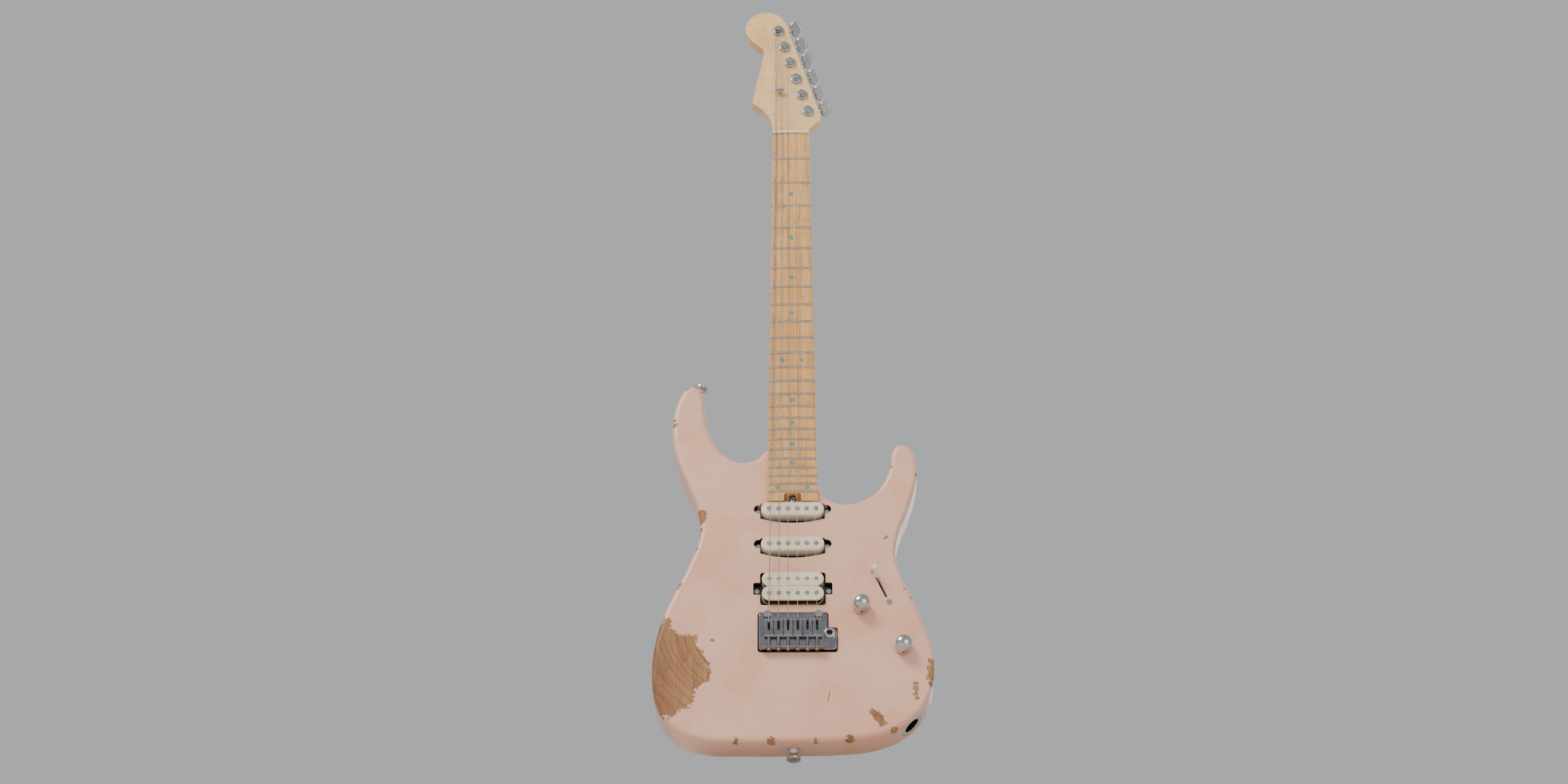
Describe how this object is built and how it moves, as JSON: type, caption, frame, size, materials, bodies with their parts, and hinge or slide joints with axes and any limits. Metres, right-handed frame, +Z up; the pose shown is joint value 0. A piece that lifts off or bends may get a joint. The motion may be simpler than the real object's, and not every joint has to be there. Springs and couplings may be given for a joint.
{
  "type": "electric guitar",
  "caption": "Solid-body electric guitar with worn pale-pink finish, maple bolt-on neck, tremolo bridge, two single coils and a humbucker.",
  "frame": {"origin": "centre of the tail strap button's end face, at the bottom of the body's end edge", "axes": "+Z up the neck towards the headstock, -Y out of the strings and the body's face, +X towards the treble side"},
  "size_m": [0.3069, 0.0638, 0.9868],
  "materials": {
    "finish": "relic lacquer on wood, satin",
    "maple": "satin maple",
    "board": "satin maple",
    "pearl": "shell inlay, polished",
    "bone": "synthetic bone",
    "wound": "wound strings",
    "fret": "polished nickel-silver",
    "chrome": "polished",
    "steel": "brushed",
    "cream": "moulded",
    "black": "moulded",
    "copper": "enamelled winding",
    "magnet": "ceramic"
  },
  "bodies": {
    "guitar": {"body": "finish", "spring_cover": "black", "control_cover": "black", "cover_screws": "chrome", "neck": "maple", "fingerboard": "board", "frets": "fret", "inlays": "pearl", "nut": "bone", "headstock_strings": "wound", "truss_rod": "steel", "neck_screws": "chrome", "neck_ferrules": "chrome", "tuner_housings": "chrome", "tuner_bushings": "chrome", "headstock_screws": "chrome", "string_tree": "chrome", "single_coil_covers": "cream", "single_coil_bases": "black", "single_coil_poles": "steel", "humbucker_bobbins": "cream", "pickup_windings": "copper", "humbucker_poles": "steel", "humbucker_magnet": "magnet", "humbucker_tray": "steel", "pickup_screws": "chrome", "bridge_posts": "chrome", "spring_claw": "steel", "claw_screws": "steel", "tremolo_springs": "steel", "pots": "steel", "control_fasteners": "chrome", "switch_frame": "steel", "output_jack": "chrome", "strap_buttons": "chrome", "strap_button_screws": "chrome"},
    "tremolo": {"bridge_plate": "chrome", "sustain_block": "steel", "saddles": "chrome", "saddle_screws": "steel", "arm_socket": "chrome", "bridge_strings": "wound"},
    "strings": {"speaking_strings": "wound"},
    "volume": {"volume_knob": "chrome"},
    "tone": {"tone_knob": "chrome"},
    "selector": {"switch_lever": "steel", "switch_tip": "cream"},
    "truss_wheel": {"truss_rod_wheel": "steel"},
    "post_1": {"tuner_post_1": "chrome"},
    "key_1": {"tuner_key_1": "chrome"},
    "post_2": {"tuner_post_2": "chrome"},
    "key_2": {"tuner_key_2": "chrome"},
    "post_3": {"tuner_post_3": "chrome"},
    "key_3": {"tuner_key_3": "chrome"},
    "post_4": {"tuner_post_4": "chrome"},
    "key_4": {"tuner_key_4": "chrome"},
    "post_5": {"tuner_post_5": "chrome"},
    "key_5": {"tuner_key_5": "chrome"},
    "post_6": {"tuner_post_6": "chrome"},
    "key_6": {"tuner_key_6": "chrome"}
  },
  "joints": [
    {"name": "tremolo", "type": "hinge", "parent": "guitar", "child": "tremolo", "pos_m": [0, -0.02345, 0.1604], "axis": [-1, 0, 0], "range_deg": [-3, 10], "stiffness_Nm_per_rad": 20, "deforming": ["tremolo_springs"]},
    {"name": "string_rise", "type": "hinge", "parent": "guitar", "child": "strings", "pos_m": [0, -0.03225, 0.8015], "axis": [-1, 0, 0], "range_deg": [-0.05, 0.15]},
    {"name": "volume", "type": "hinge", "parent": "guitar", "child": "volume", "pos_m": [0.075, -0.03125, 0.1735], "axis": [0, 1, 0], "range_deg": [-150, 150]},
    {"name": "tone", "type": "hinge", "parent": "guitar", "child": "tone", "pos_m": [0.12, -0.03125, 0.1235], "axis": [0, 1, 0], "range_deg": [-150, 150]},
    {"name": "selector", "type": "hinge", "parent": "guitar", "child": "selector", "pos_m": [0.0972, -0.00225, 0.1987], "axis": [0.9135, 0, 0.4067], "range_deg": [0, 54]},
    {"name": "truss_rod_wheel", "type": "hinge", "parent": "guitar", "child": "truss_wheel", "pos_m": [0, -0.01885, 0.3086], "axis": [0, 0, 1], "range_deg": [-360, 360]},
    {"name": "tuner_key_1", "type": "hinge", "parent": "guitar", "child": "key_1", "pos_m": [-0.01732, -0.00015, 0.96816], "axis": [0.9563, 0, 0.2924], "continuous": true},
    {"name": "tuner_post_1", "type": "hinge", "parent": "guitar", "child": "post_1", "pos_m": [-0.0144, -0.02225, 0.9586], "axis": [0, 1, 0], "continuous": true},
    {"name": "tuner_key_2", "type": "hinge", "parent": "guitar", "child": "key_2", "pos_m": [-0.01038, -0.00015, 0.94446], "axis": [0.9563, 0, 0.2924], "continuous": true},
    {"name": "tuner_post_2", "type": "hinge", "parent": "guitar", "child": "post_2", "pos_m": [-0.00746, -0.02225, 0.9349], "axis": [0, 1, 0], "continuous": true},
    {"name": "tuner_key_3", "type": "hinge", "parent": "guitar", "child": "key_3", "pos_m": [-0.00344, -0.00015, 0.92076], "axis": [0.9563, 0, 0.2924], "continuous": true},
    {"name": "tuner_post_3", "type": "hinge", "parent": "guitar", "child": "post_3", "pos_m": [-0.00052, -0.02225, 0.9112], "axis": [0, 1, 0], "continuous": true},
    {"name": "tuner_key_4", "type": "hinge", "parent": "guitar", "child": "key_4", "pos_m": [0.0035, -0.00015, 0.89706], "axis": [0.9563, 0, 0.2924], "continuous": true},
    {"name": "tuner_post_4", "type": "hinge", "parent": "guitar", "child": "post_4", "pos_m": [0.00642, -0.02225, 0.8875], "axis": [0, 1, 0], "continuous": true},
    {"name": "tuner_key_5", "type": "hinge", "parent": "guitar", "child": "key_5", "pos_m": [0.01044, -0.00015, 0.87336], "axis": [0.9563, 0, 0.2924], "continuous": true},
    {"name": "tuner_post_5", "type": "hinge", "parent": "guitar", "child": "post_5", "pos_m": [0.01336, -0.02225, 0.8638], "axis": [0, 1, 0], "continuous": true},
    {"name": "tuner_key_6", "type": "hinge", "parent": "guitar", "child": "key_6", "pos_m": [0.01738, -0.00015, 0.84966], "axis": [0.9563, 0, 0.2924], "continuous": true},
    {"name": "tuner_post_6", "type": "hinge", "parent": "guitar", "child": "post_6", "pos_m": [0.0203, -0.02225, 0.8401], "axis": [0, 1, 0], "continuous": true}
  ],
  "couplings": [
    {"joint": "string_rise", "follows": "tremolo", "ratio": 0.0125},
    {"joint": "tuner_post_1", "follows": "tuner_key_1", "ratio": 0.055556},
    {"joint": "tuner_post_2", "follows": "tuner_key_2", "ratio": 0.055556},
    {"joint": "tuner_post_3", "follows": "tuner_key_3", "ratio": 0.055556},
    {"joint": "tuner_post_4", "follows": "tuner_key_4", "ratio": 0.055556},
    {"joint": "tuner_post_5", "follows": "tuner_key_5", "ratio": 0.055556},
    {"joint": "tuner_post_6", "follows": "tuner_key_6", "ratio": 0.055556}
  ]
}
